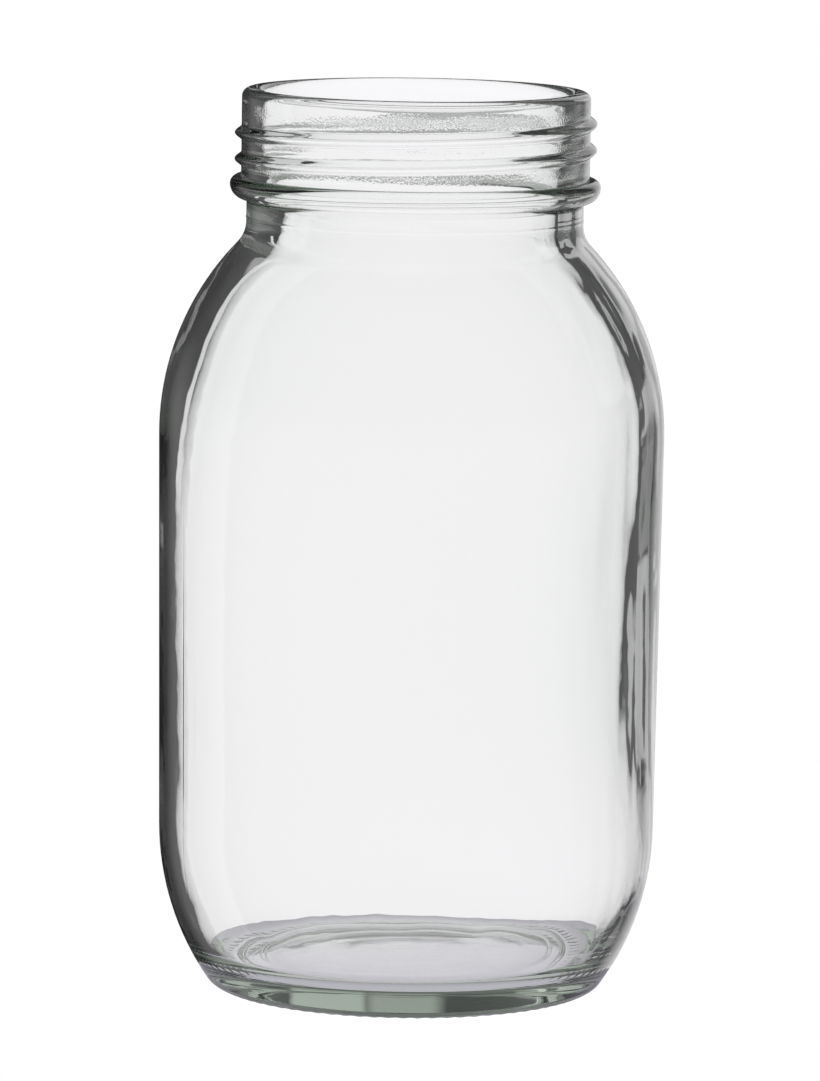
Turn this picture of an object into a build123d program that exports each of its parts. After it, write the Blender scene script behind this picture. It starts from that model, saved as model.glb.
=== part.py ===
from build123d import *
from math import asin, atan2, cos, sin, sqrt
import os

# One-quart glass canning jar with a 70 mm continuous-thread neck finish, all one moulding of
# soda-lime glass. Millimetres, +Z up. The origin is on the table, under the jar's axis, and the
# jar's front faces -Y. Outlines are drawn in the XZ plane, X being the radius, and turned about Z.

# Outside of the wall
jar_height = 175.4
neck_radius = 32.6
neck_fillet = 6.2
shoulder_radius = 53.2
body_top_radius = 49.0
body_top_height = 108.1
body_foot_radius = 48.2
body_foot_height = 31.6
heel_radius = 53.3
heel_corner = 3.9

# Inside of the wall, which is thickest in the body and thins towards the neck
bore_radius = 29.6
inner_neck_fillet = 9.0
inner_shoulder_radius = 50.2
inner_body_top_radius = 45.4
inner_body_foot_radius = 44.6
inner_heel_radius = 49.4
inner_corner = 8.0
floor_height = 7.4
floor_crown = 0.6

# Neck finish: 70 mm over the thread crests, 5 threads to the inch, right hand
finish_radius = 33.7
thread_crest_radius = 35.0
thread_round = 1.2
thread_pitch = 5.08
thread_depth_at_right = 11.2
thread_start_angle = -230.0
thread_end_angle = 420.0
rim_round = 1.6
bead_radius = 35.85
bead_depth = 18.5
bead_rise = 1.5
bead_fall = 2.8

# Foot: a flat bearing ring, a shallow push-up inside it and a knurled heel outside it
bearing_inner_radius = 32.6
step_radius = 31.0
step_height = 1.5
ring_radius = 28.0
ring_height = 1.8
push_up_radius = 27.4
push_up_height = 2.4
push_up_crown = 1.0
knurl_count = 80
knurl_circle_radius = 37.3
knurl_round = 1.1
knurl_proud = 0.3


def point(radius, height):
    return Vector(radius, 0, height)


def arc_about(centre, radius, start, end):
    """The short arc from start to end of the circle with this centre and radius."""
    middle = (start + end) * 0.5 - centre
    return ThreePointArc(start, centre + middle.normalized() * radius, end)


def bulge_arc(start, end, peak):
    """An arc that ends or starts upright at the peak of a bulge, and meets the wall at its other end."""
    foot = start if end == peak else end
    reach = peak.X - foot.X
    radius = (reach**2 + (peak.Z - foot.Z) ** 2) / (2 * reach)
    return arc_about(peak - point(radius, 0), radius, start, end)


def crown_arc(crown_height, edge_radius, edge_height):
    """A shallow dome's half-section, level on the axis and falling to its edge."""
    rise = crown_height - edge_height
    sphere_radius = (edge_radius**2 + rise**2) / (2 * rise)
    half_angle = asin(edge_radius / sphere_radius) / 2
    fall = sphere_radius * (1 - cos(half_angle))
    middle = point(sphere_radius * sin(half_angle), crown_height - fall)
    return ThreePointArc(point(0, crown_height), middle, point(edge_radius, edge_height))


def side_line(body_top, body_foot, shoulder_r, fillet_r, neck_r, heel_r, corner_r, bottom_z):
    """One side of the wall, tangent all the way from its bottom plane up to its neck.

    Returns the five edges in order, the centre of the bottom corner, and the height at which
    the neck fillet runs into the straight neck.
    """
    taper = atan2(body_top.X - body_foot.X, body_top.Z - body_foot.Z)
    outward = Vector(cos(taper), 0, -sin(taper))
    heel_centre = body_foot - outward * heel_r
    corner_rise = heel_centre.Z - bottom_z - corner_r
    corner_reach = sqrt((heel_r - corner_r) ** 2 - corner_rise**2)
    corner_centre = point(heel_centre.X + corner_reach, bottom_z + corner_r)
    shoulder_centre = body_top - outward * shoulder_r
    fillet_reach = neck_r + fillet_r - shoulder_centre.X
    fillet_rise = sqrt((shoulder_r + fillet_r) ** 2 - fillet_reach**2)
    fillet_centre = point(neck_r + fillet_r, shoulder_centre.Z + fillet_rise)

    bottom = point(corner_centre.X, bottom_z)
    heel_start = heel_centre + (corner_centre - heel_centre).normalized() * heel_r
    shoulder_end = shoulder_centre + (fillet_centre - shoulder_centre).normalized() * shoulder_r
    neck_start = point(neck_r, fillet_centre.Z)
    edges = [
        arc_about(corner_centre, corner_r, bottom, heel_start),
        arc_about(heel_centre, heel_r, heel_start, body_foot),
        Line(body_foot, body_top),
        arc_about(shoulder_centre, shoulder_r, body_top, shoulder_end),
        arc_about(fillet_centre, fillet_r, shoulder_end, neck_start),
    ]
    return edges, corner_centre, fillet_centre.Z


def neck_finish(outer_neck_height, inner_neck_height):
    """The outline over the mouth: neck, transfer bead, thread wall, rounded rim and bore."""
    bead_height = jar_height - bead_depth
    bead_foot = point(neck_radius, bead_height - bead_fall)
    bead_peak = point(bead_radius, bead_height)
    bead_head = point(finish_radius, bead_height + bead_rise)
    rim_height = jar_height - rim_round
    outer_centre = point(finish_radius - rim_round, rim_height)
    inner_centre = point(bore_radius + rim_round, rim_height)
    outer_edge = point(finish_radius, rim_height)
    inner_edge = point(bore_radius, rim_height)
    land_outside = point(outer_centre.X, jar_height)
    land_inside = point(inner_centre.X, jar_height)
    return [
        Line(point(neck_radius, outer_neck_height), bead_foot),
        bulge_arc(bead_foot, bead_peak, bead_peak),
        bulge_arc(bead_peak, bead_head, bead_peak),
        Line(bead_head, outer_edge),
        arc_about(outer_centre, rim_round, outer_edge, land_outside),
        Line(land_outside, land_inside),
        arc_about(inner_centre, rim_round, land_inside, inner_edge),
        Line(inner_edge, point(bore_radius, inner_neck_height)),
    ]


def foot_outline(bearing_outer_radius):
    """The underside from the axis out to the bearing ring: dome, ring, step and bearing."""
    push_up_edge = point(push_up_radius, push_up_height)
    ring = point(ring_radius, ring_height)
    step = point(step_radius, step_height)
    bearing_inside = point(bearing_inner_radius, 0)
    return [
        crown_arc(push_up_height + push_up_crown, push_up_radius, push_up_height),
        Line(push_up_edge, ring),
        Line(ring, step),
        Line(step, bearing_inside),
        Line(bearing_inside, point(bearing_outer_radius, 0)),
    ]


def thread_ridge():
    """The round-topped ridge, with round ends, from under the bead side up towards the rim."""
    turns = (thread_end_angle - thread_start_angle) / 360
    start_height = jar_height - thread_depth_at_right + thread_pitch * thread_start_angle / 360
    ridge_radius = thread_crest_radius - thread_round
    path = Helix(pitch=thread_pitch, height=turns * thread_pitch, radius=ridge_radius)
    ridge = sweep(Plane(path ^ 0) * Circle(thread_round), path=path, is_frenet=True)
    ends = [Pos(path @ end) * Sphere(thread_round) for end in (0, 1)]
    return Pos(0, 0, start_height) * Rot(0, 0, thread_start_angle) * (ridge + ends)


def heel_knurls(corner_centre):
    """The ring of small round bumps on the heel's corner, which stay clear of the table."""
    reach = knurl_circle_radius - corner_centre.X
    drop = sqrt(heel_corner**2 - reach**2)
    outward = point(reach, -drop).normalized()
    bump = corner_centre + outward * (heel_corner + knurl_proud - knurl_round)
    return PolarLocations(0, knurl_count) * (Pos(bump) * Sphere(knurl_round))


outer, heel_corner_centre, outer_neck_height = side_line(
    point(body_top_radius, body_top_height), point(body_foot_radius, body_foot_height),
    shoulder_radius, neck_fillet, neck_radius, heel_radius, heel_corner, 0.0,
)
inner, floor_corner_centre, inner_neck_height = side_line(
    point(inner_body_top_radius, body_top_height), point(inner_body_foot_radius, body_foot_height),
    inner_shoulder_radius, inner_neck_fillet, bore_radius, inner_heel_radius, inner_corner,
    floor_height,
)
floor = crown_arc(floor_height + floor_crown, floor_corner_centre.X, floor_height)
axis_line = Line(floor @ 0, point(0, push_up_height + push_up_crown))
foot = foot_outline(heel_corner_centre.X)
finish = neck_finish(outer_neck_height, inner_neck_height)
section = make_face(foot + outer + finish + inner + [floor, axis_line])

glass_jar = revolve(section, Axis.Z, 360) + thread_ridge() + heel_knurls(heel_corner_centre)
glass_jar.label = "glass_jar"

os.makedirs("parts", exist_ok=True)
export_step(glass_jar, "parts/glass_jar.step")
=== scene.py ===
from math import atan2, cos, degrees, pi, radians, sin, sqrt

import bmesh
import bpy
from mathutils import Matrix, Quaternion, Vector, noise


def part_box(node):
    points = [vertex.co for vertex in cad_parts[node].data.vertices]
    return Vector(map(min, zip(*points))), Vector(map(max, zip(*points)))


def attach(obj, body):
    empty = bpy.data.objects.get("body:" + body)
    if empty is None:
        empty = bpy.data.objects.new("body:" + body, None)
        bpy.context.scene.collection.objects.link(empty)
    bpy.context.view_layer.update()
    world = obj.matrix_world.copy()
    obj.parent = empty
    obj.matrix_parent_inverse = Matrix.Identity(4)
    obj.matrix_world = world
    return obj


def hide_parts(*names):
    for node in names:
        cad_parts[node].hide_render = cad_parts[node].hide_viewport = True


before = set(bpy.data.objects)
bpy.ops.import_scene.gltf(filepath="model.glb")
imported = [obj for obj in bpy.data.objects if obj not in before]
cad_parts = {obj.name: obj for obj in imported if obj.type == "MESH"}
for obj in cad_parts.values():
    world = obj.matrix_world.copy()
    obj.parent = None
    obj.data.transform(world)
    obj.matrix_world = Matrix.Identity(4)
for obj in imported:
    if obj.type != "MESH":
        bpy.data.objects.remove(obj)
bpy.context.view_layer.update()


# ---- Half-section of the jar -------------------------------------------------------------
# The jar is one moulding of clear soda-lime glass, pressed at its neck and blown below it. Its
# half-section is a chain of points, radius and height, from the middle of the underside out
# and up over the rim, and down the inside of the wall to the middle of the floor.
mm = 0.001
jar_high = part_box("glass_jar")[1]
rim_top = jar_high.z
body_top = Vector((jar_high.x, 108.1 * mm))
body_foot = Vector((48.2 * mm, 31.6 * mm))
inner_body_top = Vector((45.4 * mm, body_top.y))
inner_body_foot = Vector((44.6 * mm, body_foot.y))
shoulder_radius, inner_shoulder_radius = 53.2 * mm, 50.2 * mm
neck_fillet, inner_neck_fillet = 6.2 * mm, 9.0 * mm
heel_radius, inner_heel_radius = 53.3 * mm, 49.4 * mm
heel_corner, inner_corner = 3.9 * mm, 6.0 * mm
neck_radius = 32.6 * mm
finish_radius = 33.7 * mm
bore_radius = 29.6 * mm
rim_round = 1.6 * mm
thread_clearance = 2.6 * mm
bead_peak = Vector((35.85 * mm, rim_top - 18.5 * mm))
bead_foot = Vector((neck_radius, bead_peak.y - 2.8 * mm))
bead_head = Vector((finish_radius, bead_peak.y + 1.5 * mm))
parting_height = rim_top - 24.9 * mm
parting_ridge = 0.09 * mm
parting_spacing = 0.22 * mm
knurl_height = 0.13 * mm
floor_height = 6.6 * mm
floor_crown = 0.6 * mm
floor_ripple = 0.12 * mm
floor_ripples = 3
floor_rings = 16
thread_rows = 126


def angle_of(direction):
    return degrees(atan2(direction.y, direction.x))


def arc(centre, radius, start, end, steps):
    """Points round an arc from one angle to another, in degrees, without its first point."""
    angles = [radians(start + (end - start) * step / steps) for step in range(1, steps + 1)]
    return [centre + radius * Vector((cos(angle), sin(angle))) for angle in angles]


def straight(start, end, steps):
    return [start.lerp(end, step / steps) for step in range(1, steps + 1)]


def bulge(foot, peak, steps):
    """Points from a bulge's foot to its peak, where the outline stands upright."""
    reach = peak.x - foot.x
    radius = (reach**2 + (peak.y - foot.y) ** 2) / (2 * reach)
    centre = peak - Vector((radius, 0))
    return arc(centre, radius, angle_of(foot - centre), 0, steps)


def wall_face(top, foot, shoulder_r, fillet_r, neck_r, heel_r, corner_r, bottom, steps):
    """One face of the wall, tangent all the way from its bottom plane up to its neck.

    The steps are how many points go round its corner, heel, body, shoulder and neck fillet.
    """
    taper = atan2(top.x - foot.x, top.y - foot.y)
    outward = Vector((cos(taper), -sin(taper)))
    heel_centre = foot - outward * heel_r
    rise = heel_centre.y - bottom - corner_r
    reach = sqrt((heel_r - corner_r) ** 2 - rise**2)
    corner_centre = Vector((heel_centre.x + reach, bottom + corner_r))
    shoulder_centre = top - outward * shoulder_r
    reach = neck_r + fillet_r - shoulder_centre.x
    rise = sqrt((shoulder_r + fillet_r) ** 2 - reach**2)
    fillet_centre = Vector((neck_r + fillet_r, shoulder_centre.y + rise))
    heel_angle = angle_of(corner_centre - heel_centre)
    shoulder_angle = angle_of(fillet_centre - shoulder_centre)
    corner_steps, heel_steps, body_steps, shoulder_steps, fillet_steps = steps
    points = [Vector((corner_centre.x, bottom))]
    points += arc(corner_centre, corner_r, -90, heel_angle, corner_steps)
    points += arc(heel_centre, heel_r, heel_angle, -degrees(taper), heel_steps)
    points += straight(foot, top, body_steps)
    points += arc(shoulder_centre, shoulder_r, -degrees(taper), shoulder_angle, shoulder_steps)
    points += arc(fillet_centre, fillet_r, shoulder_angle + 180, 180, fillet_steps)
    return points


push_up = [(0, 3.4), (6, 3.35), (12, 3.2), (18, 2.98), (24, 2.65), (27.2, 2.42), (27.6, 2.3)]
mould_ring = [(27.9, 2.0), (28.3, 1.9), (30.4, 1.85), (31.0, 1.7), (31.5, 1.1), (32.0, 0.55)]
underside = [Vector(point) * mm for point in push_up + mould_ring]
bearing = [Vector((radius * mm, knurl_height)) for radius in (32.6, 33.2, 33.8, 34.3, 34.8)]
outer_face = wall_face(
    body_top, body_foot, shoulder_radius, neck_fillet, neck_radius, heel_radius, heel_corner,
    knurl_height, (10, 16, 12, 22, 8),
)
inner_face = wall_face(
    inner_body_top, inner_body_foot, inner_shoulder_radius, inner_neck_fillet, bore_radius,
    inner_heel_radius, inner_corner, floor_height, (10, 14, 20, 20, 8),
)
parting = [
    Vector((neck_radius + rise * parting_ridge, parting_height + step * parting_spacing))
    for step, rise in ((-2, 0), (-1, 0), (0, 1), (1, 0), (2, 0))
]
bead = bulge(bead_foot, bead_peak, 12)
bead += bulge(bead_head, bead_peak, 10)[-2::-1] + [bead_head]
thread_top = Vector((finish_radius, rim_top - thread_clearance))
rim_foot = Vector((finish_radius, rim_top - rim_round))
rim = straight(bead_head, thread_top, thread_rows) + straight(thread_top, rim_foot, 2)
rim += arc(rim_foot - Vector((rim_round, 0)), rim_round, 0, 90, 8)
inner_rim_centre = Vector((bore_radius + rim_round, rim_foot.y))
rim += [inner_rim_centre + Vector((0, rim_round))]
rim += arc(inner_rim_centre, rim_round, 90, 180, 8)
bore = straight(rim[-1], inner_face[-1], 16)[:-1]
jar_floor = []
for ring in range(1, floor_rings + 1):
    share = 1 - ring / floor_rings
    ripple = floor_ripple * sin(share * floor_ripples * 2 * pi) * share
    swell = floor_crown * (1 - share**2) + ripple
    jar_floor.append(Vector((inner_face[0].x * share, floor_height + swell)))
section = underside + bearing + outer_face + parting + straight(parting[-1], bead_foot, 3)
section += bead + rim + bore + inner_face[::-1] + jar_floor


# ---- Glass jar ---------------------------------------------------------------------------
# The moulding itself: the half-section, drawn by extruding one point along the chain, is spun
# round the jar's axis and closed. The band under the heel is divided once more for its knurls.
columns = 240
foot_inside, foot_outside, foot_top = 32.5 * mm, 38.7 * mm, 2.4 * mm
bpy.ops.object.select_all(action="DESELECT")
bpy.ops.mesh.primitive_plane_add(size=mm, location=(section[0].x, 0, section[0].y))
jar = bpy.context.object
jar.name = jar.data.name = "jar_glass"
bpy.ops.object.transform_apply(location=True)
bpy.ops.object.mode_set(mode="EDIT")
bpy.ops.mesh.select_mode(type="VERT")
bpy.ops.mesh.select_all(action="SELECT")
bpy.ops.mesh.merge(type="CENTER")
for here, there in zip(section, section[1:]):
    step = there - here
    bpy.ops.mesh.extrude_vertices_move(TRANSFORM_OT_translate={"value": (step.x, 0, step.y)})
bpy.ops.mesh.select_all(action="SELECT")
bpy.ops.mesh.spin(steps=columns, angle=2 * pi, center=(0, 0, 0), axis=(0, 0, 1))
bpy.ops.mesh.select_all(action="SELECT")
bpy.ops.mesh.remove_doubles(threshold=0.01 * mm)
bpy.ops.mesh.normals_make_consistent(inside=False)
bpy.ops.mesh.select_mode(type="EDGE")
bpy.ops.mesh.select_all(action="DESELECT")
moulding = bmesh.from_edit_mesh(jar.data)
for edge in moulding.edges:
    middle = (edge.verts[0].co + edge.verts[1].co) / 2
    edge.select = middle.z < foot_top and foot_inside < middle.xy.length < foot_outside
bmesh.update_edit_mesh(jar.data)
bpy.ops.mesh.subdivide(number_cuts=1)
bpy.ops.object.mode_set(mode="OBJECT")
bpy.ops.object.shade_smooth()


# ---- Screw thread, knurled foot and uneven wall ------------------------------------------
# The mould's own details, raised on the same glass: a right-hand thread ridge that runs out at
# both ends, and short bars under the foot that grip the conveyor. The inside never met a mould,
# so its wall is thicker on one side and wavy.
thread_pitch = 5.08 * mm
thread_height_at_right = rim_top - 11.2 * mm
thread_start = -250
thread_end = 425
thread_rise = 1.3 * mm
thread_half_width = 1.4 * mm
thread_run_out = 55
knurls = 80
knurl_inside, knurl_outside = 33.8 * mm, 37.4 * mm
knurl_band_inside, knurl_band_top = 32.8 * mm, 2.6 * mm
blown_inside = 47 * mm
blown_above_floor = 0.6 * mm
front_share = 0.4


def ease(value, start, end):
    """From 0 at the start to 1 at the end, smooth between them. The start may be the higher."""
    share = min(max((value - start) / (end - start), 0), 1)
    return share * share * (3 - 2 * share)


def thread_ridge(turn, height):
    rise = 0
    for lap in (-360, 0, 360):
        along = turn + lap
        run_out = ease(along, thread_start, thread_start + thread_run_out)
        run_out *= ease(along, thread_end, thread_end - thread_run_out)
        offset = (height - thread_height_at_right - thread_pitch * along / 360) / thread_half_width
        if run_out > 0 and abs(offset) < 1:
            rise = max(rise, thread_rise * run_out * (1 - offset**2) ** 1.6)
    return rise


def knurl_bar(turn, reach):
    length = ease(reach, knurl_inside, knurl_inside + 0.8 * mm)
    length *= ease(reach, knurl_outside, knurl_outside - 1.6 * mm)
    return knurl_height * length * (1 + cos(radians(turn * knurls))) / 2


# Each row is a height, the extra thickness on both sides, and how much more the right side has
# than that and the left side less, in millimetres.
extra_wall = (
    (0, 0, 0), (7, 0, 0), (14, -0.4, -0.4), (21, -0.7, -0.7), (32, -0.4, -0.4), (42, 0.2, 0.1),
    (52, 0.7, 0.7), (65, 0.85, 1.05), (80, 0.9, 1.1), (90, 0.95, 1.0), (99, 0.9, 0.5),
    (108, 1.05, 0), (116, 1.25, -0.5), (124, 1.6, -0.5), (131, 1.8, -0.3), (139, 1.95, -0.2),
    (147, 2.1, -0.5), (152, 1.9, -0.4), (157, 1.1, 0.3), (163, 0.45, 0.5), (170, 0.2, 0.3),
    (174, 0, 0), (180, 0, 0),
)


def thickening(height):
    """Both thicknesses at a height, from the smooth curve through the table's rows."""
    height = height / mm
    for before, lower, upper, after in zip(extra_wall, extra_wall[1:], extra_wall[2:], extra_wall[3:]):
        if lower[0] <= height <= upper[0]:
            span = upper[0] - lower[0]
            share = (height - lower[0]) / span
            sizes = []
            for column in (1, 2):
                start = (upper[column] - before[column]) / (upper[0] - before[0]) * span
                end = (after[column] - lower[column]) / (after[0] - lower[0]) * span
                size = lower[column] + (upper[column] - lower[column]) * ease(share, 0, 1)
                size += start * share * (1 - share) ** 2 - end * share**2 * (1 - share)
                sizes.append(size * mm)
            return sizes
    return 0, 0


def inside_wave(place, rightward):
    """The waves of the blown face: long and faint all over, stronger up the right side."""
    around = Vector((place.x, place.y, place.z * 0.35)) / mm
    streaky = Vector((place.x, place.y, place.z * 0.12)) / mm
    another_pattern = Vector((7, 3, 5))
    on_right = ease(rightward, 0.3, 0.9)
    near_floor = ease(place.z, 24 * mm, 14 * mm)
    wave = 0.05 * noise.noise(around / 16)
    wave += 0.10 * noise.noise(streaky / 3.5 + another_pattern) * on_right
    wave += 0.15 * noise.noise(around / 14 + another_pattern) * on_right
    wave += 0.06 * noise.noise(place / mm / 5) * near_floor
    return wave * mm * ease(place.z, 8 * mm, 12 * mm) * ease(place.z, 165 * mm, 150 * mm)


def raise_details(place, normal):
    """How far a point of the plain moulding moves to give it these details."""
    reach = place.xy.length
    if reach < 1 * mm:
        return Vector()
    away = Vector((place.x, place.y, 0)) / reach
    turn = degrees(atan2(place.y, place.x))
    facing = normal.dot(away)
    if bead_head.y < place.z < thread_top.y and facing > 0.5:
        return away * thread_ridge(turn, place.z)
    if place.z < knurl_band_top and reach > knurl_band_inside:
        return normal * knurl_bar(turn, reach)
    blown_face = facing < 0.2 and reach < blown_inside
    if blown_face and floor_height + blown_above_floor < place.z < rim_top - rim_round:
        both_sides, on_right = thickening(place.z)
        extra = both_sides * (front_share + (1 - front_share) * away.x**2) + on_right * away.x
        return -away * (extra + inside_wave(place, away.x))
    return Vector()


moves = [raise_details(vertex.co, vertex.normal) for vertex in jar.data.vertices]
for vertex, move in zip(jar.data.vertices, moves):
    vertex.co += move

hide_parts("glass_jar")
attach(jar, "root")

glass = bpy.data.materials.new("clear_glass")
glass.use_nodes = True
nodes, links = glass.node_tree.nodes, glass.node_tree.links
shader = nodes["Principled BSDF"]
shader.inputs["Base Color"].default_value = (1, 1, 1, 1)
shader.inputs["Transmission Weight"].default_value = 1.0
shader.inputs["Roughness"].default_value = 0.0
shader.inputs["IOR"].default_value = 1.52
absorb = nodes.new("ShaderNodeVolumeAbsorption")
absorb.inputs["Color"].default_value = (0.4, 0.62, 0.38, 1)
absorb.inputs["Density"].default_value = 10.0
links.new(absorb.outputs["Volume"], nodes["Material Output"].inputs["Volume"])

coords = nodes.new("ShaderNodeTexCoord")
split = nodes.new("ShaderNodeSeparateXYZ")
links.new(coords.outputs["Object"], split.inputs[0])


def join(value, socket):
    """Sets a socket to a number, or links another socket to it."""
    if isinstance(value, (int, float)):
        socket.default_value = value
    else:
        links.new(value, socket)


def maths(operation, *values):
    node = nodes.new("ShaderNodeMath")
    node.operation = operation
    for value, socket in zip(values, node.inputs):
        join(value, socket)
    return node.outputs[0]


def product(*values):
    result = values[0]
    for value in values[1:]:
        result = maths("MULTIPLY", result, value)
    return result


def ramp(value, start, end, low, high):
    node = nodes.new("ShaderNodeMapRange")
    node.interpolation_type = "SMOOTHSTEP"
    for number, socket in zip((value, start, end, low, high), node.inputs):
        join(number, socket)
    return node.outputs["Result"]


def near(value, centre, spread):
    """1 where a value is at the centre, falling to 0 this far either side of it."""
    return ramp(maths("ABSOLUTE", maths("SUBTRACT", value, centre)), spread, 0, 0, 1)


def speckle(size, detail):
    node = nodes.new("ShaderNodeTexNoise")
    node.inputs["Scale"].default_value = 1 / size
    node.inputs["Detail"].default_value = detail
    links.new(coords.outputs["Object"], node.inputs["Vector"])
    return node.outputs[0]


# The mould leaves a rough skin in the valleys of the thread, in patches, and a fine seam up each
# side of the body. Long faint waves run all over the glass.
skin_depth = 0.07 * mm
skin_inside = 32.2 * mm
seam_rise = 0.02 * mm
seam_half_width = 0.5 * mm
seam_inside = 46.5 * mm
seam_turn = radians(27)
wave_depth = 0.05 * mm
side, back, height = (split.outputs[axis] for axis in "XYZ")
reach = maths("SQRT", maths("ADD", product(side, side), product(back, back)))
valleys = near(height, rim_top - 4.0 * mm, 2.2 * mm)
valleys = maths("ADD", valleys, near(height, rim_top - 9.6 * mm, 1.3 * mm))
valleys = maths("ADD", valleys, near(height, rim_top - 14.6 * mm, 1.6 * mm))
skin = product(valleys, maths("GREATER_THAN", reach, skin_inside), speckle(0.45 * mm, 2))
skin = product(skin, speckle(7 * mm, 1), skin_depth)
off_seam = maths("SUBTRACT", product(side, sin(seam_turn)), product(back, cos(seam_turn)))
seams = product(near(off_seam, 0, seam_half_width), maths("GREATER_THAN", reach, seam_inside))
seams = product(seams, near(height, 60 * mm, 46 * mm), seam_rise)
waves = product(speckle(11 * mm, 2), wave_depth)
relief = maths("ADD", maths("ADD", skin, seams), waves)
bump = nodes.new("ShaderNodeBump")
bump.inputs["Strength"].default_value = 1.0
bump.inputs["Distance"].default_value = 1.0
links.new(relief, bump.inputs["Height"])
links.new(bump.outputs[0], shader.inputs["Normal"])
jar.data.materials.clear()
jar.data.materials.append(glass)


# ---- Studio light ------------------------------------------------------------------------
# Plain soft light from all round, white behind the jar. What the glass mirrors comes from dark
# cards either side, with narrow windows between them, as a photographer lights clear glass. The
# cards are told apart by how often the light was mirrored and how many faces it came through.
world = bpy.data.worlds.new("studio")
bpy.context.scene.world = world
world.use_nodes = True
nodes, links = world.node_tree.nodes, world.node_tree.links
lamp_white = (1.03, 1.01, 1.04)
card_dark = 0.03


def blend(share, low, high):
    node = nodes.new("ShaderNodeMix")
    join(share, node.inputs[0])
    join(low, node.inputs[2])
    join(high, node.inputs[3])
    return node.outputs[0]


def band(value, start, end, soft):
    """1 between the start and the end, falling to 0 over a soft distance outside them."""
    return product(ramp(value, start - soft, start, 0, 1), ramp(value, end, end + soft, 1, 0))


# where the light comes from, in degrees: above the level, and to the right of straight behind
coords = nodes.new("ShaderNodeTexCoord")
split = nodes.new("ShaderNodeSeparateXYZ")
links.new(coords.outputs["Generated"], split.inputs[0])
up = maths("DEGREES", maths("ARCSINE", split.outputs["Z"]))
across = maths("DEGREES", maths("ARCTAN2", split.outputs["X"], split.outputs["Y"]))
aside = maths("ABSOLUTE", across)
leaning = maths("SUBTRACT", across, product(maths("MAXIMUM", maths("SUBTRACT", up, 9), 0), 0.35))
path = nodes.new("ShaderNodeLightPath")
crossed = path.outputs["Transmission Depth"]
mirrored = path.outputs["Glossy Depth"]

# straight through the jar
through = ramp(up, 20, 40, 1.0, 0.85)

# mirrored by the outer face: dark on the left, light on the right
sides = product(ramp(aside, 28, 48, card_dark, 0.55), ramp(up, -4, 12, 1.0, 0.35))
right_side = product(ramp(across, 3, 9, card_dark, 0.9), ramp(across, 24, 40, 1, 0.08))
outer_light = maths("MAXIMUM", sides, right_side)

# mirrored once inside the wall, which darkens the jar's edges
windows = (
    product(band(leaning, -41.5, -38.5, 1.7), ramp(up, -3, 1, 0, 1), 0.8),
    product(band(leaning, -80, -52, 3), 0.7),
    product(band(across, -33, -27, 3), band(up, 19, 30, 3), 0.4),
    product(band(across, -14, -3, 6), band(up, -4.8, -3.4, 0.8), 0.4),
    product(band(across, 9, 24, 3), ramp(up, -12, -7, 0.5, 1), 0.55),
    product(band(across, 45, 70, 4), ramp(up, 4, 8, 0, 1), 0.5),
    product(band(across, 25, 36.5, 2.5), band(up, -9.3, 4.5, 1.7), 0.48),
    product(band(across, 25, 32, 3), band(up, -16, -12, 1.5), 0.22),
    product(ramp(aside, 5, 10, 1, 0), ramp(up, 6, 7.5, 0, 1), ramp(up, 17, 20, 1, 0), 0.42),
)
wall_light = ramp(up, 0, 20, card_dark, 2 * card_dark)
for window in windows:
    wall_light = maths("MAXIMUM", wall_light, window)

# mirrored once inside the jar, or more than once anywhere
inner_light = product(ramp(aside, 14, 30, 1.0, 0.5), ramp(up, 25, 45, 1.0, 0.7))
deep = maths("GREATER_THAN", crossed, 3.5)
once = blend(maths("GREATER_THAN", crossed, 0.5), outer_light, wall_light)
once = blend(deep, once, inner_light)
again = blend(deep, ramp(up, -6, -3, 0.12, 0.18), 0.55)
any_mirrored = blend(maths("GREATER_THAN", mirrored, 1.5), once, again)
brightness = blend(maths("GREATER_THAN", mirrored, 0.5), through, any_mirrored)

lamp = nodes.new("ShaderNodeVectorMath")
lamp.operation = "SCALE"
lamp.inputs[0].default_value = lamp_white
links.new(brightness, lamp.inputs["Scale"])


def white_behind(colour):
    """Pure white where the camera sees it with no glass between, and this colour elsewhere."""
    backdrop = nodes.new("ShaderNodeMix")
    backdrop.data_type = "RGBA"
    links.new(path.outputs["Is Camera Ray"], backdrop.inputs[0])
    if isinstance(colour, tuple):
        backdrop.inputs[6].default_value = colour
    else:
        links.new(colour, backdrop.inputs[6])
    backdrop.inputs[7].default_value = (1, 1, 1, 1)
    return backdrop.outputs[2]


links.new(white_behind(lamp.outputs[0]), nodes["Background"].inputs["Color"])


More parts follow.
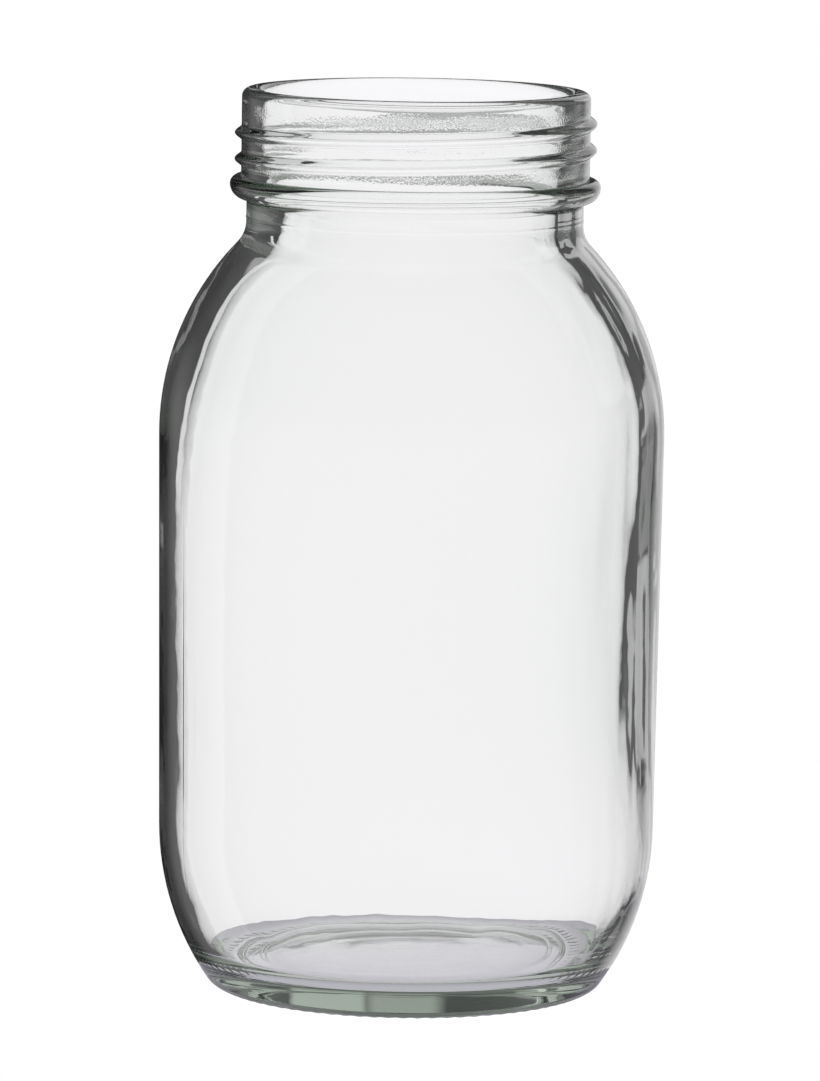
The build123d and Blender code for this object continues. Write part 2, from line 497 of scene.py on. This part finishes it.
# ---- Floor -------------------------------------------------------------------------------
# The white table that the jar stands on. Only the part under the jar is made, because the
# light is white all round it. It glows white to the camera. To rays through the glass it glows a
# painted shadow of the jar, a pale grey, painted a little lighter in the middle.
floor_drop = 0.2 * mm
shade_radius = 44.7 * mm
painted_floor_shadow = (0.42, 0.405, 0.46, 1)
bpy.ops.object.select_all(action="DESELECT")
bpy.ops.mesh.primitive_circle_add(
    vertices=128, radius=shade_radius, fill_type="NGON", location=(0, 0, -floor_drop)
)
table = bpy.context.object
table.name = table.data.name = "pale_floor"
bpy.ops.object.transform_apply(location=True)

paper = bpy.data.materials.new("paper_with_painted_shadow")
paper.use_nodes = True
nodes, links = paper.node_tree.nodes, paper.node_tree.links
nodes.remove(nodes["Principled BSDF"])
path = nodes.new("ShaderNodeLightPath")
coords = nodes.new("ShaderNodeTexCoord")
distance = nodes.new("ShaderNodeVectorMath")
distance.operation = "LENGTH"
links.new(coords.outputs["Object"], distance.inputs[0])
lit = nodes.new("ShaderNodeEmission")
# painted shadow: a pale grey glow seen through the glass, painted lighter within 32 mm of the middle
links.new(white_behind(painted_floor_shadow), lit.inputs["Color"])
links.new(ramp(distance.outputs["Value"], 32 * mm, 38 * mm, 1.22, 1.0), lit.inputs["Strength"])
links.new(lit.outputs["Emission"], nodes["Material Output"].inputs["Surface"])
table.data.materials.append(paper)


# ---- Camera ------------------------------------------------------------------------------
# A long lens a little above the jar's rim, turned slightly, so that the jar stands almost square
# on. Light is followed through many faces of the glass, or its edges would end up black.
camera_data = bpy.data.cameras.new("camera")
camera_data.lens = 261.8
camera_data.clip_end = 20.0
camera_roll = radians(0.85)
camera = bpy.data.objects.new("camera", camera_data)
bpy.context.scene.collection.objects.link(camera)
camera.location = (0, -1.516, 0.28625)
aim = Vector((0, 0, 0.0876))
facing_jar = (aim - camera.location).to_track_quat("-Z", "Y")
camera.rotation_mode = "QUATERNION"
camera.rotation_quaternion = facing_jar @ Quaternion((0, 0, 1), camera_roll)
bpy.context.scene.camera = camera

scene = bpy.context.scene
scene.view_settings.view_transform = "Standard"
scene.cycles.max_bounces = 24
scene.cycles.transmission_bounces = 24
scene.cycles.glossy_bounces = 12
scene.cycles.transparent_max_bounces = 8
